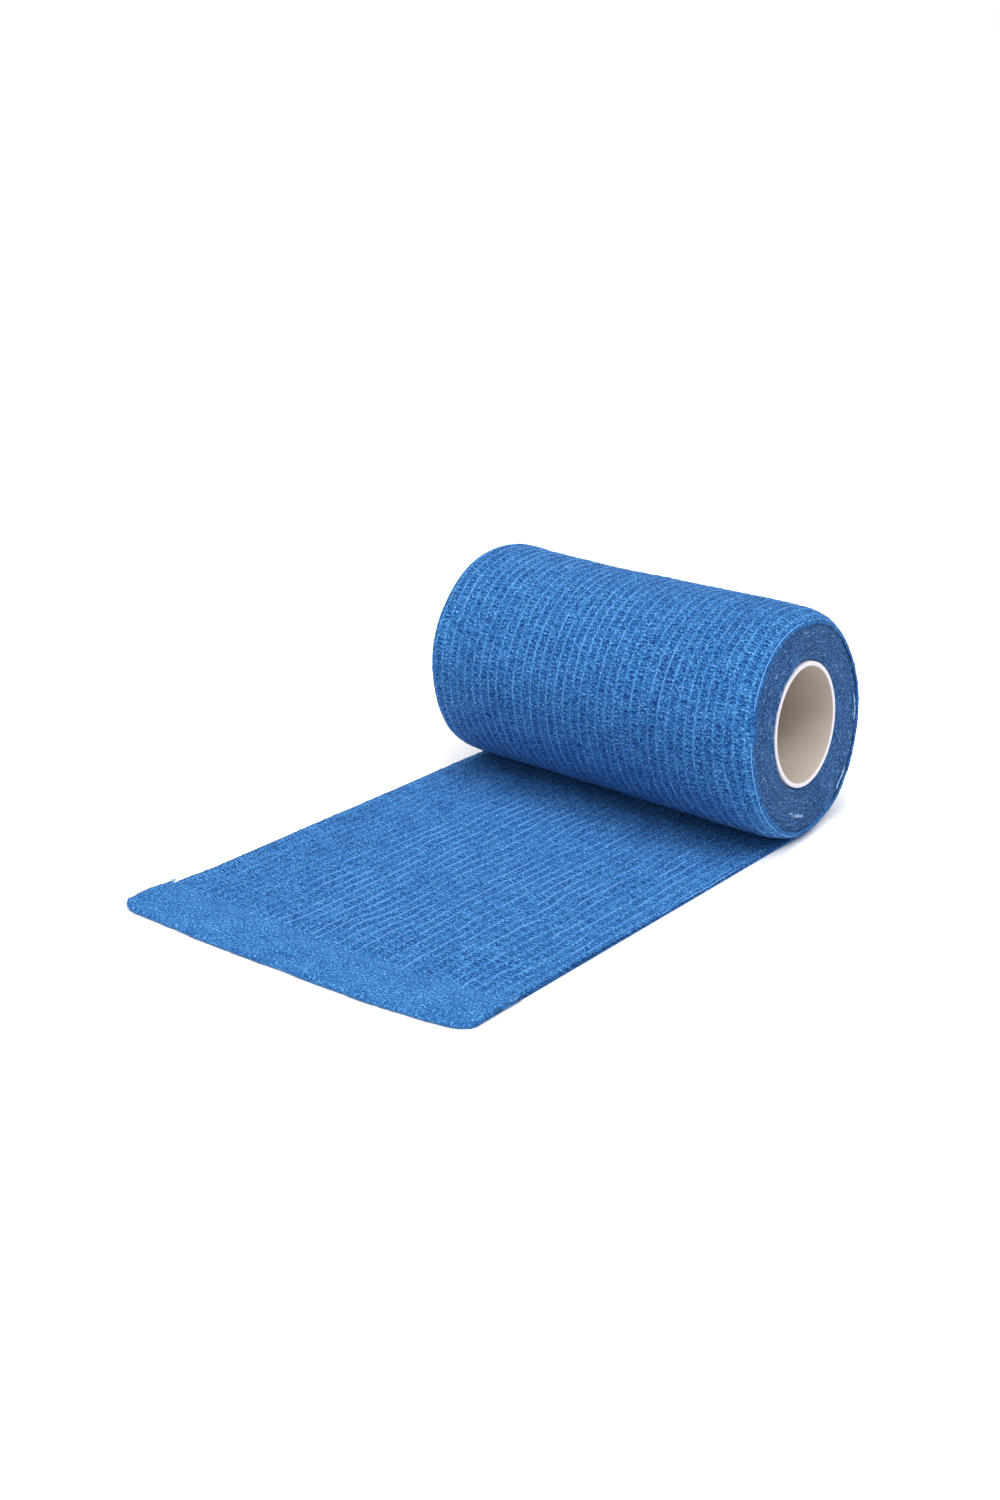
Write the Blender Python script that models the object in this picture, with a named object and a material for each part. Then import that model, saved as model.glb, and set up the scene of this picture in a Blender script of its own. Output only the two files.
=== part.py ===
"""Cohesive bandage roll: crepe cloth wound on a plastic core, its loose end laid out flat.

Metres, +Z up. The roll's axis runs along X at Y = 0 and the loose end runs out
towards -Y. The origin is on the surface the roll lies on, straight below the
middle of the roll's axis.
"""

from math import cos, hypot, pi, radians, sin, sqrt
from typing import NamedTuple

import bmesh
import bpy

# Driving dimensions.
BANDAGE_WIDTH = 0.100
WOUND_RADIUS = 0.0301
CORE_OUTER_RADIUS = 0.0162
CORE_WALL = 0.0012
CORE_LENGTH = 0.0996
CORE_RIM_ROUND = 0.0003
CLOTH_THICKNESS = 0.0010
PIECE_GAP = 0.0003
TAIL_REACH = 0.136
FOLD_DEPTH = 0.0140

# The roll is soft: it sinks a little, lies on a narrow flat and hangs a little on its core.
SINK = 0.0004
AXIS_HEIGHT = WOUND_RADIUS - SINK
CORE_LIFT = 0.0009

# The end face at +X leans back: its shift along X for each metre up and each metre back.
LEAN_START = 0.020
LEAN_UP = 0.086
LEAN_BACK = 0.040

# Angles go round the axis from straight down, up the back and over the top.
PEEL_ANGLE = radians(20)
TAIL_END_ANGLE = PEEL_ANGLE - PIECE_GAP / WOUND_RADIUS

# Outline of the loose end.
TAIL_SKEW = 0.0034
TAIL_DRIFT = 0.0043
TAIL_OFFSET = 0.0004
TAIL_TAPER = 0.0002
FRONT_BOW = 0.0009
CORNER_RADIUS = 0.0060
CORNER_SETBACK = 0.0026
FOLD_FLARE = 0.0007

# Fineness of the facets.
ROUND_SEGMENTS = 96
CORE_SEGMENTS = 64
ARC_STEPS = 6
FLAT_STEPS = 16
BEND_STEPS = 6
FLAP_STEPS = 5
TAIL_STRIPS = 18


class RollSection(NamedTuple):
    """One ring of the wound form.

    along is its place as a share of the width, swell how far it stands out of the
    wound radius, sag how far its centre hangs below the axis, and unevenness the
    depth of its waves.
    """

    along: float
    swell: float
    sag: float
    unevenness: float


# The end at +X is rounded, the end at -X is squarer and a little fuller.
ROLL_SECTIONS = (
    RollSection(along=-0.5000, swell=-0.0004, sag=-0.0006, unevenness=0.00030),
    RollSection(along=-0.4920, swell=0.0001, sag=-0.0006, unevenness=0.00025),
    RollSection(along=-0.4700, swell=0.0003, sag=-0.0005, unevenness=0.00015),
    RollSection(along=-0.3800, swell=0.0001, sag=-0.0002, unevenness=0.00010),
    RollSection(along=-0.1500, swell=-0.0001, sag=0.0000, unevenness=0.00010),
    RollSection(along=0.1500, swell=0.0001, sag=0.0000, unevenness=0.00010),
    RollSection(along=0.3400, swell=0.0003, sag=0.0000, unevenness=0.00010),
    RollSection(along=0.4100, swell=0.0002, sag=0.0000, unevenness=0.00015),
    RollSection(along=0.4500, swell=0.0000, sag=0.0000, unevenness=0.00020),
    RollSection(along=0.4780, swell=-0.0006, sag=0.0001, unevenness=0.00025),
    RollSection(along=0.4930, swell=-0.0012, sag=0.0002, unevenness=0.00030),
    RollSection(along=0.5000, swell=-0.0020, sag=0.0003, unevenness=0.00035),
)


class Finish(NamedTuple):
    """A plain surface colour and roughness."""

    name: str
    colour: tuple
    roughness: float


BLUE_CREPE = Finish("blue_crepe", (0.055, 0.205, 0.565, 1.0), 0.95)
WHITE_PLASTIC = Finish("white_plastic", (0.80, 0.78, 0.79, 1.0), 0.40)


def clear_scene():
    """Remove whatever the startup scene holds."""
    for obj in list(bpy.data.objects):
        bpy.data.objects.remove(obj, do_unlink=True)


def make_material(finish):
    """Make a Principled material with the finish's colour and roughness."""
    material = bpy.data.materials.new(finish.name)
    material.use_nodes = True
    shader = material.node_tree.nodes["Principled BSDF"]
    shader.inputs["Base Color"].default_value = finish.colour
    shader.inputs["Roughness"].default_value = finish.roughness
    shader.inputs["Metallic"].default_value = 0.0
    return material


def add_object(name, shape, material, sharp_angle=radians(40)):
    """Turn a bmesh into a named object, smooth but for its sharp edges."""
    bmesh.ops.recalc_face_normals(shape, faces=shape.faces)
    mesh = bpy.data.meshes.new(name)
    shape.to_mesh(mesh)
    shape.free()
    mesh.shade_smooth()
    mesh.set_sharp_from_angle(angle=sharp_angle)
    mesh.materials.append(material)
    obj = bpy.data.objects.new(name, mesh)
    bpy.context.collection.objects.link(obj)
    return obj


def join_rings(shape, rings):
    """Bridge each closed ring to the next, and the last to the first."""
    count = len(rings)
    for index in range(count):
        near, far = rings[index], rings[(index + 1) % count]
        size = len(near)
        for step in range(size):
            after = (step + 1) % size
            shape.faces.new((near[step], near[after], far[after], far[step]))


def ease(value):
    """Smooth step from 0 to 1."""
    value = min(max(value, 0.0), 1.0)
    return value * value * (3 - 2 * value)


def leant(along, back, height):
    """A point of the roll, shifted along the axis where its end leans back."""
    share = ease((along - LEAN_START) / (BANDAGE_WIDTH / 2 - LEAN_START))
    shift = LEAN_UP * (height - AXIS_HEIGHT) + LEAN_BACK * back
    return (along - share * shift, back, height)


def circle_ring(shape, along, radius, segments, first_angle=0.0):
    """Add a circle of vertices round the core's axis."""
    ring = []
    for step in range(segments):
        angle = first_angle + 2 * pi * step / segments
        height = AXIS_HEIGHT + CORE_LIFT - radius * cos(angle)
        ring.append(shape.verts.new(leant(along, radius * sin(angle), height)))
    return ring


def wrap_radius(angle):
    """Radius of the outermost turn, which steps in by one thickness in each turn."""
    if angle <= 2 * pi:
        return WOUND_RADIUS - CLOTH_THICKNESS * angle / (2 * pi)
    return WOUND_RADIUS - CLOTH_THICKNESS - PIECE_GAP


def rim_wave(angle):
    """Unevenness of a hand-wound turn, from -1 to 1 round the roll."""
    return 0.6 * sin(3 * angle + 0.7) + 0.4 * sin(7 * angle + 2.1)


def wound_ring(shape, section):
    """Add one ring of the wound form, from the peel line once round to under it."""
    ring = []
    lowest = CLOTH_THICKNESS + PIECE_GAP
    for step in range(ROUND_SEGMENTS):
        angle = PEEL_ANGLE + 2 * pi * step / (ROUND_SEGMENTS - 1)
        radius = wrap_radius(angle) + section.swell
        radius += section.unevenness * rim_wave(angle) * sin(angle / 2)
        height = AXIS_HEIGHT - section.sag - radius * cos(angle)
        if cos(angle) > 0 and angle > pi:
            height = max(height, lowest)
        along = section.along * BANDAGE_WIDTH
        ring.append(shape.verts.new(leant(along, radius * sin(angle), height)))
    return ring


def make_wound_form(material):
    """The bandage wound on its core, as one solid with a bore for the core."""
    shape = bmesh.new()
    rings = [wound_ring(shape, section) for section in ROLL_SECTIONS]
    bore_radius = CORE_OUTER_RADIUS + PIECE_GAP
    for side in (1, 0, -1):
        along = side * BANDAGE_WIDTH / 2
        rings.append(circle_ring(shape, along, bore_radius, ROUND_SEGMENTS, PEEL_ANGLE))
    join_rings(shape, rings)
    return add_object("bandage_roll", shape, material)


def make_core(material):
    """The moulded tube the bandage is wound on, with slightly rounded rims."""
    shape = bmesh.new()
    half = CORE_LENGTH / 2
    inner_radius = CORE_OUTER_RADIUS - CORE_WALL
    profile = []
    for side in (-1, 1):
        eased = side * (half - CORE_RIM_ROUND)
        outer = (eased, CORE_OUTER_RADIUS), (side * half, CORE_OUTER_RADIUS - CORE_RIM_ROUND)
        inner = (side * half, inner_radius + CORE_RIM_ROUND), (eased, inner_radius)
        rim = outer + inner
        profile.extend(rim if side > 0 else reversed(rim))
    rings = [circle_ring(shape, along, radius, CORE_SEGMENTS) for along, radius in profile]
    join_rings(shape, rings)
    return add_object("core_tube", shape, material, sharp_angle=radians(30))


def roll_form_at(across):
    """The wound form's swell and sag at a place across the width, from -1 to 1."""
    place = across / 2
    for before, after in zip(ROLL_SECTIONS, ROLL_SECTIONS[1:]):
        if place <= after.along:
            share = (place - before.along) / (after.along - before.along)
            swell = before.swell + share * (after.swell - before.swell)
            return swell, before.sag + share * (after.sag - before.sag)
    return ROLL_SECTIONS[-1].swell, ROLL_SECTIONS[-1].sag


def place_under_roll(across):
    """Place across the roll that rests over a place across the loose end."""
    half = BANDAGE_WIDTH / 2
    share = ease((across * half - LEAN_START) / (half - LEAN_START))
    return across - share * LEAN_UP * AXIS_HEIGHT / half


def fold_reach(across):
    """Distance from the roll's axis to the folded front edge."""
    reach = TAIL_REACH - TAIL_SKEW * across + FRONT_BOW * (1 - 2 * across * across)
    from_side = (1 - abs(across)) * BANDAGE_WIDTH / 2
    if from_side < CORNER_RADIUS:
        inset = CORNER_RADIUS - from_side
        rounding = 1 - sqrt(1 - (inset / CORNER_RADIUS) ** 2)
        reach -= CORNER_SETBACK * rounding
    return reach


def tail_centre_line(across):
    """Points (distance out, height) along the middle of the cloth's thickness."""
    half = CLOTH_THICKNESS / 2
    layer_step = CLOTH_THICKNESS + PIECE_GAP
    reach = fold_reach(across)
    swell, sag = roll_form_at(place_under_roll(across))
    points = []
    for step in range(ARC_STEPS + 1):
        share = 1 - step / ARC_STEPS
        angle = TAIL_END_ANGLE * share
        radius = WOUND_RADIUS - half + swell * ease(share)
        height = max(AXIS_HEIGHT - sag * ease(share) - radius * cos(angle), half)
        points.append((-radius * sin(angle), height))
    bend_centre = reach - half - layer_step / 2
    for step in range(1, FLAT_STEPS + 1):
        points.append((bend_centre * step / FLAT_STEPS, half))
    for step in range(1, BEND_STEPS + 1):
        turn = pi * step / BEND_STEPS
        out = bend_centre + layer_step / 2 * sin(turn)
        points.append((out, half + layer_step / 2 * (1 - cos(turn))))
    for step in range(1, FLAP_STEPS + 1):
        points.append((bend_centre - FOLD_DEPTH * step / FLAP_STEPS, half + layer_step))
    return points


def offset_line(points, distance):
    """Shift a line of points sideways by a distance, along its own normals."""
    shifted = []
    last = len(points) - 1
    for index, (out, height) in enumerate(points):
        before, after = points[max(index - 1, 0)], points[min(index + 1, last)]
        run, rise = after[0] - before[0], after[1] - before[1]
        length = hypot(run, rise)
        shifted.append((out - distance * rise / length, height + distance * run / length))
    return shifted


def tail_place(across, out, height):
    """World position of a point of the loose end."""
    flare = FOLD_FLARE * ease((out - TAIL_REACH + 2 * FOLD_DEPTH) / FOLD_DEPTH)
    flare -= TAIL_TAPER * max(out, 0.0) / TAIL_REACH
    along = TAIL_OFFSET + across * (BANDAGE_WIDTH / 2 + flare)
    along -= TAIL_DRIFT * max(out, 0.0) / TAIL_REACH
    return (along, -out, height)


def tail_ring(shape, across):
    """Add one closed section of the loose end, under side then upper side."""
    centre = tail_centre_line(across)
    under = offset_line(centre, -CLOTH_THICKNESS / 2)
    upper = offset_line(centre, CLOTH_THICKNESS / 2)
    loop = under + upper[::-1]
    return [shape.verts.new(tail_place(across, out, max(height, 0.0))) for out, height in loop]


def make_tail(material):
    """The loose end: cloth from under the roll, laid out flat and folded back at its end."""
    shape = bmesh.new()
    places = [sin(pi / 2 * (2 * step / TAIL_STRIPS - 1)) for step in range(TAIL_STRIPS + 1)]
    rings = [tail_ring(shape, across) for across in places]
    size = len(rings[0])
    for near, far in zip(rings, rings[1:]):
        for step in range(size):
            after = (step + 1) % size
            shape.faces.new((near[step], near[after], far[after], far[step]))
    for ring in (rings[0], rings[-1]):
        for step in range(size // 2 - 1):
            other = size - 1 - step
            shape.faces.new((ring[step], ring[step + 1], ring[other - 1], ring[other]))
    return add_object("bandage_tail", shape, material)


def main():
    """Build the three pieces."""
    clear_scene()
    crepe = make_material(BLUE_CREPE)
    plastic = make_material(WHITE_PLASTIC)
    make_core(plastic)
    make_wound_form(crepe)
    make_tail(crepe)


main()
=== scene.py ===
"""Looks of the cohesive bandage roll: crepe cloth wound on a white plastic core.

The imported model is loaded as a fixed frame, and every piece here stands in the
space of one of its nodes. Lengths are in millimetres until a mesh is made, and
meshes are in metres. The roll's axis runs along X, the loose end runs towards -Y.
"""

import logging
from dataclasses import dataclass, field
from enum import Enum
from math import cos, pi, radians, sin
from typing import NamedTuple, Sequence

import bpy
import numpy as np
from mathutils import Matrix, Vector


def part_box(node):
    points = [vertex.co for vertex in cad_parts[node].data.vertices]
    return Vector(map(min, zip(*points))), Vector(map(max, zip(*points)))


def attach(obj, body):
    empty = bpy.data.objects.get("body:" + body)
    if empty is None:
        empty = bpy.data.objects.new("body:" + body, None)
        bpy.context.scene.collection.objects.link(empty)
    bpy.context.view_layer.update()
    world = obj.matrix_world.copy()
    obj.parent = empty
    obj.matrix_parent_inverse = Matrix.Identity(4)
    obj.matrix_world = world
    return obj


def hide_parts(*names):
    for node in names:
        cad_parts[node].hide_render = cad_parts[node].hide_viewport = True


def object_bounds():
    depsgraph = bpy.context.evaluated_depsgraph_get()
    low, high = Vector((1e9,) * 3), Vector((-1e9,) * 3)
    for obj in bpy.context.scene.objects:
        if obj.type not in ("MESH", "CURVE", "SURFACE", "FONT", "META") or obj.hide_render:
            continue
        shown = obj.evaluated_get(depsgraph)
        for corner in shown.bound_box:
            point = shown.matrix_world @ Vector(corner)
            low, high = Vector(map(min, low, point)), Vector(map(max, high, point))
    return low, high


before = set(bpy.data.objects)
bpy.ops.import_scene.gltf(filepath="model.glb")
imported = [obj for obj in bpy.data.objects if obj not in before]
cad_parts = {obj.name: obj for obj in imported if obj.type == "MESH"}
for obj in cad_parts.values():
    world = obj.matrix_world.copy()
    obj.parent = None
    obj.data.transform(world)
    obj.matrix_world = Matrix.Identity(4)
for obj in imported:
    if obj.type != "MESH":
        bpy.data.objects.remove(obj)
CAD_BOX = [list(corner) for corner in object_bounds()]

LOG = logging.getLogger("bandage_roll")
MM = 0.001
BODY = "root"
CLOTH_SLOT = "bandage_cloth"
CORE_SLOT = "core_plastic"

Array = np.ndarray


# Small tools


def linear(hex_colour: str) -> tuple[float, float, float, float]:
    """Turn an sRGB hex colour into linear RGBA.

    Args:
        hex_colour: six hex digits after a hash, such as "#3070C0".

    Returns:
        The colour as four linear values, alpha last.
    """
    digits = hex_colour.lstrip("#")
    values = [int(digits[place : place + 2], 16) / 255 for place in (0, 2, 4)]
    spread = [v / 12.92 if v <= 0.04045 else ((v + 0.055) / 1.055) ** 2.4 for v in values]
    return (*spread, 1.0)


def ease(value: Array | float) -> Array | float:
    """Smooth step from 0 to 1."""
    held = np.clip(value, 0.0, 1.0)
    return held * held * (3 - 2 * held)


def box_mm(node: str) -> tuple[Array, Array]:
    """Lowest and highest corner of a CAD node, in millimetres."""
    low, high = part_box(node)
    return np.array(low) / MM, np.array(high) / MM


def deselect_all() -> None:
    """Leave object mode with nothing selected."""
    if bpy.context.mode != "OBJECT":
        bpy.ops.object.mode_set(mode="OBJECT")
    bpy.ops.object.select_all(action="DESELECT")


def select_only(obj: bpy.types.Object) -> None:
    """Select one object and make it the active one."""
    deselect_all()
    bpy.context.view_layer.objects.active = obj
    obj.select_set(True)


def stacked(*coordinates: Array | float) -> Array:
    """Join coordinates into points, each stretched to their common shape."""
    return np.stack(np.broadcast_arrays(*coordinates), -1)


class LatticeNoise:
    """Smooth seeded noise from -1 to 1 over a plane."""

    SIZE = 128

    def __init__(self, seed: int) -> None:
        """Draw the lattice values for one seed."""
        self.table = np.random.default_rng(seed).uniform(-1, 1, (self.SIZE, self.SIZE))

    def __call__(self, x: Array, y: Array) -> Array:
        """Noise at each place.

        Args:
            x: first coordinate, one unit to a lattice cell.
            y: second coordinate.

        Returns:
            One value for each place, from -1 to 1.
        """
        x, y = np.broadcast_arrays(np.asarray(x, float), np.asarray(y, float))
        x0, y0 = np.floor(x).astype(int), np.floor(y).astype(int)
        fx, fy = ease(x - x0), ease(y - y0)
        x1, y1 = (x0 + 1) % self.SIZE, (y0 + 1) % self.SIZE
        x0, y0 = x0 % self.SIZE, y0 % self.SIZE
        low = self.table[x0, y0] * (1 - fx) + self.table[x1, y0] * fx
        high = self.table[x0, y1] * (1 - fx) + self.table[x1, y1] * fx
        return low * (1 - fy) + high * fy


# Materials


class NodeGraph:
    """The node tree of one material, with a single way to add a node."""

    def __init__(self, name: str) -> None:
        """Make the material, whose tree starts with its Principled shader.

        Args:
            name: the material's name.
        """
        self.material = bpy.data.materials.new(name)
        self.material.use_nodes = True
        self.tree = self.material.node_tree
        self.shader = self.tree.nodes["Principled BSDF"]

    def add(self, kind: str, settings: dict | None = None, **inputs: object) -> bpy.types.Node:
        """Add a node, set its properties and fill its inputs.

        Args:
            kind: the node's type, such as "ShaderNodeTexNoise".
            settings: properties of the node itself.
            **inputs: values, sockets or nodes, by input name with _ for a space,
                or by place as i0, i1 and so on. A node stands for its first output.

        Returns:
            The new node.
        """
        node = self.tree.nodes.new(kind)
        for name, value in (settings or {}).items():
            setattr(node, name, value)
        for name, value in inputs.items():
            key = int(name[1:]) if name[0] == "i" and name[1:].isdigit() else name.replace("_", " ")
            self.fill(node.inputs[key], value)
        return node

    def fill(self, socket: bpy.types.NodeSocket, value: object) -> None:
        """Link an output to a socket, or set the socket's own value."""
        if isinstance(value, bpy.types.Node):
            value = value.outputs[0]
        if isinstance(value, bpy.types.NodeSocket):
            self.tree.links.new(value, socket)
        else:
            socket.default_value = value

    def shade(self, **inputs: object) -> bpy.types.Material:
        """Fill the shader's inputs and hand over the material."""
        for name, value in inputs.items():
            self.fill(self.shader.inputs[name.replace("_", " ")], value)
        return self.material


MATH = "ShaderNodeMath"
NOISE = "ShaderNodeTexNoise"
RAMP = "ShaderNodeMapRange"
TIMES = {"operation": "MULTIPLY"}
TIMES_PLUS = {"operation": "MULTIPLY_ADD"}
PINGPONG = {"operation": "PINGPONG"}
SMOOTH = {"interpolation_type": "SMOOTHSTEP"}
COLOUR = {"data_type": "RGBA"}


class ClothFace(Enum):
    """Which side of the crepe shows."""

    THREADED = "threaded"
    CUT_EDGES = "cut_edges"


@dataclass(frozen=True)
class CrepeFinish:
    """Cohesive crepe: matt non-woven polyester gathered by elastic threads.

    It is dull and slightly fuzzy, with painted shade in its gathers and painted
    light on its ridges, and speckled all over by its fibres and their glue. Short
    puckers lie in columns between its threads, painted dark as painted shade.
    """

    face: ClothFace
    light: str = "#66A6DC"
    mid: str = "#2E6DAC"
    deep: str = "#0C3470"
    glint: str = "#86BAE8"
    roughness: float = 0.9
    sheen: float = 0.12
    relief_shade_and_grain_share: float = 0.42
    speckle_share: float = 0.46
    speckle_size: float = 0.55
    patch_size: float = 8.0
    thread_pitch: float = 2.7
    pucker_pitch: float = 1.25
    pucker_shade_share: float = 0.38
    pucker_depth: float = 1.2

    def puckers(self, graph: NodeGraph, place: bpy.types.Node) -> bpy.types.Node:
        """Short gathers across the cloth between its threads, uneven in place and depth.

        Args:
            graph: the material being made.
            place: the node that gives the cloth's own two coordinates, in metres.

        Returns:
            The node whose value goes from 0 on plain cloth to 1 in a gather.
        """
        pitch, spacing = self.thread_pitch * MM, self.pucker_pitch * MM
        split = graph.add("ShaderNodeSeparateXYZ", None, Vector=place)
        turns = graph.add(MATH, TIMES, i0=split.outputs["X"], i1=1 / pitch)
        off = graph.add(MATH, PINGPONG, i0=turns, i1=0.5)
        between = graph.add(RAMP, SMOOTH, i0=off, i1=0.06, i2=0.24, i3=0.0, i4=1.0)
        column = graph.add(MATH, {"operation": "FLOOR"}, i0=turns)
        chance = graph.add("ShaderNodeTexWhiteNoise", {"noise_dimensions": "1D"}, W=column)
        # Each column of gathers starts at its own place, and strays along the cloth.
        along = graph.add(MATH, TIMES, i0=split.outputs["Y"], i1=1 / spacing)
        strayed = graph.add(MATH, TIMES_PLUS, i0=chance, i1=7.0, i2=along)
        drift = graph.add(NOISE, None, Vector=place, Scale=1 / (2.2 * MM), Detail=3.0, Roughness=0.65)
        strayed = graph.add(MATH, TIMES_PLUS, i0=drift, i1=3.4, i2=strayed)
        off = graph.add(MATH, PINGPONG, i0=strayed, i1=0.5)
        line = graph.add(RAMP, SMOOTH, i0=off, i1=0.06, i2=0.27, i3=1.0, i4=0.0)
        uneven = graph.add(NOISE, None, Vector=place, Scale=1 / (2.4 * MM), Detail=2.0, Roughness=0.6)
        depth = graph.add(RAMP, SMOOTH, i0=uneven, i1=0.34, i2=0.54, i3=0.25, i4=1.0)
        marks = graph.add(MATH, TIMES, i0=line, i1=between)
        return graph.add(MATH, TIMES, i0=marks, i1=depth)

    def make(self) -> bpy.types.Material:
        """Build the material."""
        graph = NodeGraph(f"cohesive_crepe_{self.face.value}")
        place = graph.add("ShaderNodeUVMap", {"uv_map": "cloth"})
        size = 1 / (self.speckle_size * MM)
        fibres = graph.add(NOISE, None, Vector=place, Scale=size, Detail=2.0, Roughness=0.6)
        speckle = graph.add(RAMP, SMOOTH, i0=fibres, i1=0.38, i2=0.64, i3=0.0, i4=1.0)
        size = 1 / (self.patch_size * MM)
        blotch = graph.add(NOISE, None, Vector=place, Scale=size, Detail=3.0, Roughness=0.55)
        patch = graph.add(RAMP, SMOOTH, i0=blotch, i1=0.3, i2=0.7, i3=-0.04, i4=0.04)
        relief = graph.add("ShaderNodeAttribute", {"attribute_name": "relief"}).outputs["Fac"]
        # The relief tone brings painted light on the ridges and painted shade in the hollows, with
        # random grain.
        tone = graph.add(MATH, TIMES_PLUS, i0=relief, i1=self.relief_shade_and_grain_share, i2=patch)
        tone = graph.add(MATH, TIMES_PLUS, i0=speckle, i1=self.speckle_share, i2=tone)
        height = fibres
        if self.face is ClothFace.THREADED:
            weave = graph.add("ShaderNodeAttribute", {"attribute_name": "weave"}).outputs["Fac"]
            pucker = graph.add(MATH, TIMES, i0=self.puckers(graph, place), i1=weave)
            # Puckers are painted darker, as painted shade in the gathers, and sunk in the bump below.
            tone = graph.add(MATH, TIMES_PLUS, i0=pucker, i1=-self.pucker_shade_share, i2=tone)
            height = graph.add(MATH, TIMES_PLUS, i0=pucker, i1=-self.pucker_depth, i2=fibres)
        # The ramp runs from the deep colour to the light one: low tones carry painted shade and dark
        # fibres, high ones painted light and pale fibres.
        ramp = graph.add("ShaderNodeValToRGB", None, Fac=tone)
        stops = ramp.color_ramp.elements
        stops[0].position, stops[0].color = 0.08, linear(self.deep)
        stops[1].position, stops[1].color = 0.92, linear(self.light)
        stops.new(0.50).color = linear(self.mid)
        # Here and there a fibre end catches the light.
        ends = graph.add(NOISE, None, Vector=place, Scale=1 / (0.55 * MM), Detail=1.0, Roughness=0.5)
        spots = graph.add(RAMP, SMOOTH, i0=ends, i1=0.66, i2=0.75, i3=0.0, i4=0.7)
        colour = graph.add("ShaderNodeMix", COLOUR, i0=spots, i6=ramp, i7=linear(self.glint))
        bump = graph.add("ShaderNodeBump", None, Strength=0.8, Distance=0.22 * MM, Height=height)
        return graph.shade(
            Base_Color=colour.outputs[2], Roughness=self.roughness, Normal=bump,
            Sheen_Weight=self.sheen, Sheen_Roughness=0.5, Sheen_Tint=linear("#7FA8E0"),
            Specular_IOR_Level=0.15,
        )


@dataclass(frozen=True)
class ThreadFinish:
    """Elastane thread wrapped in fluff: a pale blue, dull strand."""

    name: str = "elastic_thread"
    colour: str = "#7DB6EE"
    shade: str = "#4384C8"
    roughness: float = 0.8
    twist: float = 0.7

    def make(self) -> bpy.types.Material:
        """Build the material."""
        graph = NodeGraph(self.name)
        place = graph.add("ShaderNodeTexCoord")
        fluff = graph.add(
            NOISE, None, Vector=place.outputs["Object"], Scale=1 / (self.twist * MM), Detail=2.0
        )
        colour = graph.add(
            "ShaderNodeMix", COLOUR, i0=fluff, i6=linear(self.shade), i7=linear(self.colour)
        )
        return graph.shade(
            Base_Color=colour.outputs[2], Roughness=self.roughness, Specular_IOR_Level=0.3
        )


@dataclass(frozen=True)
class CorePlasticFinish:
    """Extruded polypropylene tube: white, satin, a little light passing into it."""

    name: str = "extruded_polypropylene"
    colour: str = "#D9D6DF"
    dull: str = "#CDCAD4"
    roughness: float = 0.38

    def make(self) -> bpy.types.Material:
        """Build the material."""
        graph = NodeGraph(self.name)
        place = graph.add("ShaderNodeTexCoord")
        # Extrusion draws faint streaks along the tube, about 1.5 mm apart.
        stretch = graph.add(
            "ShaderNodeMapping", None, Vector=place.outputs["Object"], Scale=(12.0, 650.0, 650.0)
        )
        streaks = graph.add(NOISE, None, Vector=stretch, Scale=1.0, Detail=3.0)
        colour = graph.add(
            "ShaderNodeMix", COLOUR, i0=streaks, i6=linear(self.dull), i7=linear(self.colour)
        )
        bump = graph.add("ShaderNodeBump", None, Strength=0.2, Distance=0.05 * MM, Height=streaks)
        return graph.shade(
            Base_Color=colour.outputs[2], Roughness=self.roughness, Normal=bump, IOR=1.49
        )


# The form of the cloth


class RollSection(NamedTuple):
    """The wound form at one place along the roll, in mm: how far it swells and sags."""

    along: float
    swell: float
    sag: float


class EdgeSway(NamedTuple):
    """How far the outermost turn has slid along the roll at one angle, in mm."""

    degrees: float
    shift: float


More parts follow.
